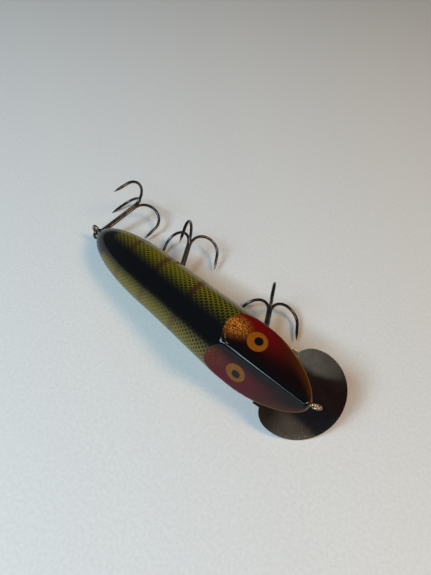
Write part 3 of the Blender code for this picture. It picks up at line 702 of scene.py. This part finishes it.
# The violet and brown middle is partly tarnish and partly a painted reflection of the dark nose above it.
plate = lay(across.rise(-3.0, 3.0), VIOLET_STAIN_AND_REFLECTION, BROWN_STAIN_AND_REFLECTION)
plate = lay(right_clear, plate, lay(along.rise(-5.0, 4.0), DARK_CLEAR, PALE_CLEAR))
plate = lay(left_clear_and_sheen, plate, BRIGHT_CLEAR_AND_SHEEN)
plate = lay(smudges.rise(0.45, 0.66) * 0.4, plate, SMUDGE)
plate = lay(clouds * (0.08 + 0.35 * left_clear_and_sheen.at_least(right_clear)), plate, CLOUD)
plate = lay(pits * 0.25, plate, PIT)
normal = tree.nodes.new("ShaderNodeTexCoord").outputs["Normal"]
square = {0: normal, 1: (LYING.to_3x3() @ LIP_AXES.to_3x3()).col[2]}
facing = new_node(tree, "ShaderNodeVectorMath", square, operation="DOT_PRODUCT")
rim = abs(Field(tree, facing.outputs["Value"])).fall(0.55, 0.9)
plate = lay(rim * (0.6 + 0.4 * clouds), plate, RUBBED)
lay_on(tree, shader, plate, 0.03 + 0.06 * clouds + 0.12 * smudges + 0.2 * pits + 0.12 * rim)
bump(tree, shader, smudges * 2.0 + 0.12 * scratches + 0.1 * pits, 0.2 * MM, 0.35)
print("lip plate:", len(tree.nodes), "nodes")

# %% Lip piece
LIP_CORNER_REACH, LIP_SHOULDER, RIM_POINTS = 8.5, math.radians(102.0), 180
HOLE_RADIUS, HOLE_REACH, HOLE_STEPS, RUBBED_EDGE = 1.1, 3.0, 40, 0.22
corner_angle = math.atan2(LIP_NECK_HALF, -LIP_CORNER_REACH)
draw_in = LIP_RADIUS - math.hypot(LIP_NECK_HALF, LIP_CORNER_REACH)
outline = []
for index in range(RIM_POINTS + 1):
    angle = corner_angle * (2 * index / RIM_POINTS - 1)
    past = max(0.0, (abs(angle) - LIP_SHOULDER) / (corner_angle - LIP_SHOULDER))
    radius = LIP_RADIUS - draw_in * past**2
    outline.append((radius * math.cos(angle), radius * math.sin(angle)))
outline += [(-LIP_NECK_REACH, LIP_NECK_HALF), (-LIP_NECK_REACH, -LIP_NECK_HALF)]
held = bmesh.new()
corners = [held.verts.new((along * MM, across * MM, -LIP_THICKNESS / 2 * MM)) for along, across in outline]
raised = bmesh.ops.extrude_face_region(held, geom=[held.faces.new(corners)])
top = [part for part in raised["geom"] if isinstance(part, bmesh.types.BMVert)]
bmesh.ops.translate(held, verts=top, vec=(0, 0, LIP_THICKNESS * MM))
bmesh.ops.recalc_face_normals(held, faces=held.faces)
lip = new_piece("lip_plate", mesh_from("lip_plate", held))
lip.data.materials.append(lip_metal)
hole = [(0.0, HOLE_REACH), (HOLE_RADIUS, HOLE_REACH), (HOLE_RADIUS, -HOLE_REACH), (0.0, -HOLE_REACH)]
cut_away(lip, [cutter("hole", turned_mesh("hole", hole, HOLE_STEPS), place) for place in SCREW_PLACES])
soften(lip, RUBBED_EDGE, segments=3, angle=40.0)
lip.data.transform(LYING @ LIP_AXES)
print("lip:", len(lip.data.polygons), "faces")

# %% [markdown]
# ## Metal for the fittings
# Screw eyes, cups and screws are nickel over brass, dulled by years of water. The line eye has lost its plate
# and shows the brass. The hooks are bronzed steel, brown-black with bare steel where they rubbed.

# %% Fitting finishes
def fitting_finish(name, rough, bright, dull, dark):
    made, tree, shader = new_finish(name, 1.0)
    clouds, pits, scratches = tarnish(tree, 420.0, 900.0)
    metal = blend(tree, clouds, colour(*bright), colour(*dull))
    metal = blend(tree, pits * 0.25, metal, colour(*dark))
    lay_on(tree, shader, metal, rough + 0.16 * clouds + 0.1 * pits)
    bump(tree, shader, 0.2 * pits + scratches * 0.3 + clouds * 0.3, 0.015 * MM, 0.15)
    return made


nickel = fitting_finish("dulled_nickel", 0.22, (150, 144, 136), (112, 104, 94), (70, 60, 52))
brass = fitting_finish("bare_brass_wire", 0.2, (178, 167, 148), (150, 136, 114), (96, 80, 60))
hook_steel = fitting_finish("bronzed_hook_steel", 0.15, (92, 90, 90), (58, 54, 52), (44, 36, 30))
print("fittings:", nickel.name, brass.name, hook_steel.name)

# %% [markdown]
# ## Wire that follows a path
# Screw eyes are one length of wire, bent round and pointed. A path of points carries the share of the full
# thickness at each point, and a tree sweeps a circle along it. The same tree makes the line eye and the three
# hook eyes, so all that changes is the path and the thickness.

# %% Wire tree
def sweep(tree, path, radius, sides):
    """A round wire along a path, thinned by the path's own share at each point."""
    line = new_node(tree, "GeometryNodeMeshToCurve", {"Mesh": path})
    circle = new_node(tree, "GeometryNodeCurvePrimitiveCircle", {"Resolution": sides, "Radius": radius})
    share = new_node(tree, "GeometryNodeInputNamedAttribute", {"Name": "share"})
    values = {"Curve": line.outputs["Curve"], "Profile Curve": circle.outputs["Curve"]}
    values |= {"Scale": share.outputs["Attribute"], "Fill Caps": True}
    return new_node(tree, "GeometryNodeCurveToMesh", values).outputs["Mesh"]


wire_tree, given, size = new_shape_tree("bent_wire", {"Wire Radius": 0.6 * MM, "Sides": 20.0})
wire = sweep(wire_tree, given.outputs["Geometry"], size["Wire Radius"], size["Sides"])
end_shape_tree(wire_tree, given, wire)


# %% Paths of wire
EYE_TIP, EYE_NECK, EYE_TURNS, EYE_FROM, EYE_SWEEP = 0.15, 1.06, 56, -52.0, 274.0


def path_mesh(name, runs):
    """Edges through runs of (x, y, z, share) points in millimetres."""
    corners, edges, shares = [], [], []
    for run in runs:
        first = len(corners)
        corners += [Vector(point[:3]) * MM for point in run]
        shares += [point[3] for point in run]
        edges += [(first + step, first + step + 1) for step in range(len(run) - 1)]
    mesh = bpy.data.meshes.new(name)
    mesh.from_pydata(corners, edges, [])
    mesh.attributes.new("share", "FLOAT", "POINT").data.foreach_set("value", shares)
    return mesh


def bent_wire(name, path, radius, finish, place):
    wire = new_piece(name, path_mesh(name, [path]))
    grow(wire, wire_tree, {"Material": finish, "Wire Radius": radius * MM})
    smooth(tidy(wire.data), 50.0)
    wire.data.transform(place)
    return wire


def screw_eye_path(ring, wire, stem, shank):
    """A pointed shank down -Z, and a ring round the origin."""
    foot, neck = -ring - wire - stem, -EYE_NECK * ring
    path = [(0.0, 0.0, foot - shank, EYE_TIP), (0.0, 0.0, foot - shank + 3 * wire, 1.0)]
    path += [(0.0, 0.0, foot, 1.0), (0.04 * ring, 0.0, (foot + neck) / 2, 1.0), (0.12 * ring, 0.0, neck, 1.0)]
    for index in range(EYE_TURNS + 1):
        angle = math.radians(EYE_FROM + EYE_SWEEP * index / EYE_TURNS)
        path.append((ring * math.cos(angle), 0.0, ring * math.sin(angle), 1.0))
    return path


# %% Line eye
TIE_RING, TIE_WIRE, TIE_STEM, TIE_SHANK, TIE_OFFSET = 1.3, 0.4, 0.3, 10.0, 0.5
TIE_LEAN, TIE_TURN = math.radians(22.0), math.radians(15.0)
foot = Matrix.Translation(Vector((NOSE_END + TIE_WIRE * math.sin(TIE_LEAN), TIE_OFFSET, 0.0)) * MM)
lean = Matrix.Rotation(TIE_LEAN, 4, "Z") @ Matrix.Rotation(math.pi / 2, 4, "Y")
lift = Matrix.Translation((0.0, 0.0, (TIE_RING + TIE_WIRE + TIE_STEM) * MM))
tie_place = LYING @ foot @ lean @ lift @ Matrix.Rotation(TIE_TURN, 4, "Z")
tie_path = screw_eye_path(TIE_RING, TIE_WIRE, TIE_STEM, TIE_SHANK)
line_eye = bent_wire("line_eye", tie_path, TIE_WIRE, brass, tie_place)
print("line eye:", len(line_eye.data.polygons), "faces")

# %% [markdown]
# ## Where the trebles hang
# Each treble is linked to its eye at the joint's own point, which the frame gives. The shank points away over
# the table, and its tilt follows from the height of that point and the treble's own sizes, because a treble
# lies on its lower points.

# %% Treble sizes and lies
HOOK_WIRE, HOOK_EYE, HOOK_SHANK, HOOK_BEND = 0.6, 1.9, 19.9, 6.3
HOOK_POINT, HOOK_SPLAY, HOOK_NEEDLE, HOOK_TIP, HOOK_OFFSET = 6.0, 0.6, 3.4, 0.12, 0.5
BARB_LENGTH, BARB_ANGLE, LINK_SLACK, HOOK_ROLL = 1.7, math.radians(24.0), 0.35, math.radians(4.0)
HEADINGS = {"front": 122.6, "rear": 121.2, "tail": 91.5}
TIP_ALONG = LINK_SLACK + HOOK_SHANK - HOOK_POINT
TIP_OUT = HOOK_OFFSET + 2 * HOOK_BEND + HOOK_SPLAY
joint_points = {joint["name"].split("_")[0]: Vector(joint["pos_m"]) for joint in frame["joints"]}


def hinge_line(name):
    heading = math.radians(HEADINGS[name])
    level = Vector((-math.sin(heading), math.cos(heading), 0.0))
    return level * math.cos(HOOK_ROLL) - Vector((0.0, 0.0, math.sin(HOOK_ROLL)))


def treble_axes(name):
    """X along the shank, Y along the hinge, Z up the third bend."""
    heading = math.radians(HEADINGS[name])
    below = TIP_OUT * math.cos(math.pi / 3)
    rolled = TIP_OUT * math.sin(math.pi / 3) * math.sin(HOOK_ROLL)
    drop = (joint_points[name].z / MM - HOOK_TIP * HOOK_WIRE - rolled) / math.cos(HOOK_ROLL)
    lift = math.atan2(below, TIP_ALONG) - math.asin(drop / math.hypot(TIP_ALONG, below))
    level, hinge = Vector((math.cos(heading), math.sin(heading), 0.0)), hinge_line(name)
    shank = level * math.cos(lift) + level.cross(hinge) * math.sin(lift)
    return axes_at(joint_points[name] / MM, shank, hinge)


for name in HEADINGS:
    print(name, "treble hangs at", [round(value / MM, 2) for value in joint_points[name]])

# %% Hook eyes
WASHER_RADIUS, WASHER_THICKNESS, WASHER_DISH, WASHER_STATION = 2.4, 0.6, 0.7, TAIL_START - FIT
DOWN, BACKWARD = Vector((0.0, 0.0, -1.0)), Vector((-1.0, 0.0, 0.0))


def hook_eye(name, centre, outward, wire_line, shank):
    """A screw eye that points outward. The wire at the top of its ring runs along a line over the table."""
    own_line = LYING.to_3x3().inverted() @ wire_line
    across = (own_line - outward * own_line.dot(outward)).normalized()
    path = screw_eye_path(EYE_RING, EYE_WIRE, EYE_STAND, shank)
    place = LYING @ axes_at(centre, across, outward.cross(across))
    return bent_wire(name + "_screw_eye", path, EYE_WIRE, nickel, place)


hook_eyes = {}
for name, eye_station in BELLY_STATIONS.items():
    centre = (eye_station, 0.0, -(turned_radius(eye_station) - EYE_SINK))
    hook_eyes[name] = hook_eye(name, centre, DOWN, hinge_line(name), EYE_SHANK)
tail_centre = (WASHER_STATION - EYE_RING - EYE_WIRE - EYE_STAND - WASHER_THICKNESS, 0.0, 0.0)
hook_eyes["tail"] = hook_eye("tail", tail_centre, BACKWARD, DOWN, EYE_SHANK + WASHER_THICKNESS)
print("hook eyes:", ", ".join(sorted(hook_eyes)))

# %% [markdown]
# ## Cups and washer
# A pressed cup under each belly eye keeps the hook from gouging the wood, and a dished washer does so at the
# tail. Both are turned shapes, so a profile is spun round and its edges are softened.

# %% Turned fittings
WASHER_FIT, WASHER_STEPS, CUP_EDGE, WASHER_EDGE = 0.05, 64, 0.12, 0.1


def fitting(name, profile, steps, place, softness):
    piece = new_piece(name, turned_mesh(name, profile, steps))
    piece.data.materials.append(nickel)
    soften(piece, softness, segments=2, angle=30.0)
    piece.data.transform(LYING @ place)
    return piece


cups = {}
for name, cup_station in BELLY_STATIONS.items():
    floor = -cup_depth(cup_station)
    profile = [(0.0, floor), (CUP_FLOOR, floor), (CUP_MOUTH - CUP_WALL, CUP_WALL)]
    profile += [(CUP_RIM, CUP_WALL), (CUP_RIM, 0.0), (CUP_MOUTH, 0.0)]
    profile += [(CUP_FLOOR + CUP_WALL, floor - CUP_WALL), (0.0, floor - CUP_WALL)]
    cups[name] = fitting(name + "_cup", profile, CUP_STEPS, cup_axes(cup_station), CUP_EDGE)
bore, top = EYE_WIRE + WASHER_FIT, WASHER_THICKNESS
profile = [(bore, top), (TAIL_FLAT, top), (WASHER_RADIUS, top - WASHER_DISH)]
profile += [(WASHER_RADIUS, -WASHER_DISH), (TAIL_FLAT, 0.0), (bore, 0.0), (bore, top)]
behind = axes_at((WASHER_STATION, 0.0, 0.0), Vector((0.0, 0.0, 1.0)), Vector((0.0, 1.0, 0.0)))
washer = fitting("dished_washer", profile, WASHER_STEPS, behind, WASHER_EDGE)
print("cups and washer:", sum(len(piece.data.polygons) for piece in (*cups.values(), washer)), "faces")

# %% [markdown]
# ## Lip screws
# Two round-head screws hold the lip from the throat. One screw is turned and slotted, and a tree stands a
# copy on each of two points, so both stay alike when the pattern changes.

# %% Lip screws
SCREW_RADIUS, SCREW_HEIGHT, SCREW_BITE, SCREW_SLOT, HEAD_STEPS = 0.9, 1.2, 4.2, 0.5, 12
under_head = -SCREW_GRIP - FIT
profile = [(0.0, SCREW_BITE), (SCREW_RADIUS, SCREW_BITE - 2 * SCREW_RADIUS), (SCREW_RADIUS, under_head)]
for index in range(HEAD_STEPS + 1):
    angle = math.pi / 2 * index / HEAD_STEPS
    profile.append((SCREW_HEAD * math.cos(angle), under_head - SCREW_HEIGHT * math.sin(angle)))
one_screw = new_piece("one_screw", turned_mesh("one_screw", profile, SCREW_STEPS))
slot_sizes = (3 * SCREW_HEAD, SCREW_SLOT, SCREW_HEIGHT)
driver_slot = box_mesh("driver_slot", slot_sizes, (0.0, 0.0, under_head - SCREW_HEIGHT))
cut_away(one_screw, [new_piece("driver_slot", driver_slot)])
smooth(one_screw.data)
screw_tree, given, _ = new_shape_tree("screws_on_points", {})
pattern = new_node(screw_tree, "GeometryNodeObjectInfo", {"Object": one_screw})
standing = {"Points": given.outputs["Geometry"], "Instance": pattern.outputs["Geometry"]}
copies = new_node(screw_tree, "GeometryNodeInstanceOnPoints", standing)
end_shape_tree(screw_tree, given, copies.outputs["Instances"])
screw_points = bpy.data.meshes.new("lip_screws")
screw_points.from_pydata([place.translation for place in SCREW_PLACES], [], [])
lip_screws = new_piece("lip_screws", screw_points)
grow(lip_screws, screw_tree, {"Material": nickel})
lip_screws.data.transform(LYING @ LIP_AXES)
bpy.data.objects.remove(one_screw, do_unlink=True)
print("lip screws:", len(lip_screws.data.polygons), "faces")

# %% [markdown]
# ## Treble hooks
# A treble is three bent wires brazed side by side below one eye. One arm is drawn as a path that thins to a
# needle, with its barb as a second, short path. The tree sweeps the wire, turns three copies round the shank,
# adds the eye and the braze that fills the grooves, and unites them into one skin, as brazing does.

# %% One arm of a treble
BEND_TURNS, NEEDLE_SHARES = 30, ((0.0, 1.0), (0.3, 0.85), (0.65, 0.5), (1.0, HOOK_TIP))
BARB_ROOT, BARB_SHARES = 0.85, ((0.0, 0.6), (0.45, 0.55), (1.0, 0.08))


def hook_arm():
    """One arm in the plane of its bend: X along the shank, Z outwards."""
    bend_at = LINK_SLACK + HOOK_SHANK
    arm = [(LINK_SLACK + HOOK_EYE, 0.0, HOOK_OFFSET, 1.0), (bend_at - 0.5, 0.0, HOOK_OFFSET, 1.0)]
    for index in range(BEND_TURNS + 1):
        angle = math.pi * index / BEND_TURNS
        out = HOOK_OFFSET + HOOK_BEND * (1.0 - math.cos(angle))
        arm.append((bend_at + HOOK_BEND * math.sin(angle), 0.0, out, 1.0))
    for needle_share, share in NEEDLE_SHARES:
        back = HOOK_POINT - HOOK_NEEDLE + needle_share * HOOK_NEEDLE
        out = HOOK_OFFSET + 2 * HOOK_BEND + HOOK_SPLAY * back / HOOK_POINT
        arm.append((bend_at - back, 0.0, out, share))
    root = Vector((TIP_ALONG + BARB_ROOT * HOOK_NEEDLE, 0.0, TIP_OUT - HOOK_WIRE / 3))
    lean = Vector((math.cos(BARB_ANGLE), 0.0, -math.sin(BARB_ANGLE)))
    start, end = root - lean * HOOK_WIRE, root + lean * BARB_LENGTH
    barb = [(*start.lerp(end, barb_share), share) for barb_share, share in BARB_SHARES]
    return [arm, barb]


print("hook points stand %.1f mm out" % TIP_OUT)

# %% Treble tree
BRAZE_RADIUS, BRAZE_START, BRAZE_LENGTH = 0.78, LINK_SLACK + HOOK_EYE + 0.3, HOOK_SHANK - HOOK_EYE - 3.0
HOOK_SIDES, EYE_SEGMENTS, BRAZE_SIDES = 16, 48, 24
treble_sizes = {"Wire Radius": HOOK_WIRE * MM, "Braze Radius": BRAZE_RADIUS * MM}
treble_tree, given, size = new_shape_tree("treble_hook", treble_sizes)
add = partial(new_node, treble_tree)


def set_along(geometry, station, turn):
    values = {"Geometry": geometry, "Translation": (station * MM, 0.0, 0.0), "Rotation": turn}
    return add("GeometryNodeTransform", values).outputs["Geometry"]


arm_wire = sweep(treble_tree, given.outputs["Geometry"], size["Wire Radius"], HOOK_SIDES)
three = add("GeometryNodeMeshLine", {"Count": 3, "Offset": (0.0, 0.0, 0.0)})
which = Field(treble_tree, add("GeometryNodeInputIndex", {}).outputs[0])
turning = {"Axis": (1.0, 0.0, 0.0), "Angle": which * (math.tau / 3)}
turned = add("FunctionNodeAxisAngleToRotation", turning)
standing = {"Points": three.outputs["Mesh"], "Instance": arm_wire, "Rotation": turned.outputs["Rotation"]}
arms = add("GeometryNodeInstanceOnPoints", standing).outputs["Instances"]
ring = add("GeometryNodeCurvePrimitiveCircle", {"Resolution": EYE_SEGMENTS, "Radius": HOOK_EYE * MM})
ring_line = set_along(ring.outputs["Curve"], LINK_SLACK, (math.pi / 2, 0.0, 0.0))
round_values = {"Resolution": HOOK_SIDES, "Radius": size["Wire Radius"]}
wire_round = add("GeometryNodeCurvePrimitiveCircle", round_values)
bending = {"Curve": ring_line, "Profile Curve": wire_round.outputs["Curve"]}
eye_wire = add("GeometryNodeCurveToMesh", bending).outputs["Mesh"]
rod_values = {"Vertices": BRAZE_SIDES, "Depth": BRAZE_LENGTH * MM, "Radius": size["Braze Radius"]}
rod = add("GeometryNodeMeshCylinder", rod_values)
braze = set_along(rod.outputs["Mesh"], BRAZE_START + BRAZE_LENGTH / 2, (0.0, math.pi / 2, 0.0))
parts = add("GeometryNodeJoinGeometry", {})
for geometry in (arms, eye_wire, braze):
    treble_tree.links.new(geometry, parts.inputs["Geometry"])
loose = add("GeometryNodeRealizeInstances", {"Geometry": parts.outputs["Geometry"]})
uniting = {"Mesh 2": loose.outputs["Geometry"], "Self Intersection": True}
united = add("GeometryNodeMeshBoolean", uniting, operation="UNION", solver="EXACT")
end_shape_tree(treble_tree, given, united.outputs["Mesh"])

# %% Three trebles
trebles = {}
for name in HEADINGS:
    treble = new_piece(name + "_treble_hook", path_mesh(name + "_treble_hook", hook_arm()))
    grow(treble, treble_tree, {"Material": hook_steel})
    smooth(tidy(treble.data), 45.0)
    treble.data.transform(treble_axes(name))
    trebles[name] = treble
print("each treble:", len(trebles["front"].data.polygons), "faces")

# %% [markdown]
# ## Table and light
# The lure lies on a plain pale table. A large cool lamp stands to the picture's left, as a window does, and a
# weaker warm one on the far side, so shadows are blue on one side and brown on the other. A narrow cool strip
# draws the bright line on the head's ridge.

# %% Table
TABLE_RADIUS, TABLE_SIDES = 1.6, 96
table_finish, tree, shader = new_finish("pale_table", 0.0)
specks = noise(tree, object_place(tree), 900.0, 2.0, 0.6)
speckled = blend(tree, specks.rise(0.3, 0.7), colour(216, 217, 214), colour(224, 224, 221))
lay_on(tree, shader, speckled, 0.55)
bump(tree, shader, specks, 0.1 * MM, 0.3)
held = bmesh.new()
bmesh.ops.create_circle(held, cap_ends=True, segments=TABLE_SIDES, radius=TABLE_RADIUS)
table = new_piece("table", mesh_from("table", held))
table.data.materials.append(table_finish)
print("table: %.1f m across" % (2 * TABLE_RADIUS))

# %% Light
def lamp(name, direction, distance, sizes, power, tint):
    data = bpy.data.lights.new(name, "AREA")
    data.shape = "RECTANGLE"
    data.size, data.size_y = sizes
    data.energy = power
    data.color = tint
    piece = bpy.data.objects.new(name, data)
    aim = Vector(direction).normalized()
    piece.location = aim * distance
    piece.rotation_euler = aim.to_track_quat("Z", "Y").to_euler()
    scene.collection.objects.link(piece)
    print("%s: %.1f W at %.1f m" % (name, power, distance))


COOL_WINDOW, COOL_STRIP, WARM_ROOM = (0.60, 0.82, 1.0), (0.62, 0.83, 1.0), (1.0, 0.60, 0.27)
SKY_TINT, SKY_STRENGTH = (0.94, 0.97, 1.0, 1.0), 0.12
lamp("cool_window", (-0.22, -0.63, 0.74), 0.8, sizes=(0.29, 0.29), power=3.8, tint=COOL_WINDOW)
lamp("cool_strip", (0.225, -0.69, 0.675), 0.6, sizes=(0.48, 0.055), power=1.3, tint=COOL_STRIP)
lamp("warm_room", (0.524, 0.233, 0.819), 0.8, sizes=(0.24, 0.24), power=2.5, tint=WARM_ROOM)
world = bpy.data.worlds.new("room")
scene.world = world
world.use_nodes = True
sky = world.node_tree.nodes["Background"]
sky.inputs["Color"].default_value = SKY_TINT
sky.inputs["Strength"].default_value = SKY_STRENGTH

# %% [markdown]
# ## Riding
# Every piece rides on the body that its solid belongs to, and the solids that it stands for are hidden.

# %% Ride and replace
def dress(piece, rides_on, finish_slot, *nodes):
    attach(piece, rides_on)
    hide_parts(*nodes)
    print(piece.name, "rides on", rides_on)


dress(body, "plug", "painted_wood", "body")
dress(lip, "plug", "lip_metal", "diving_lip")
dress(lip_screws, "plug", "nickel", "lip_screw_left", "lip_screw_right")
dress(line_eye, "plug", "brass_wire", "line_tie")
dress(washer, "plug", "nickel", "tail_washer")
for name in HEADINGS:
    dress(hook_eyes[name], "plug", "nickel", name + "_hook_eye")
    dress(trebles[name], name + "_hook", "hook_steel", name + "_treble")
for name in cups:
    dress(cups[name], "plug", "nickel", name + "_hook_cup")
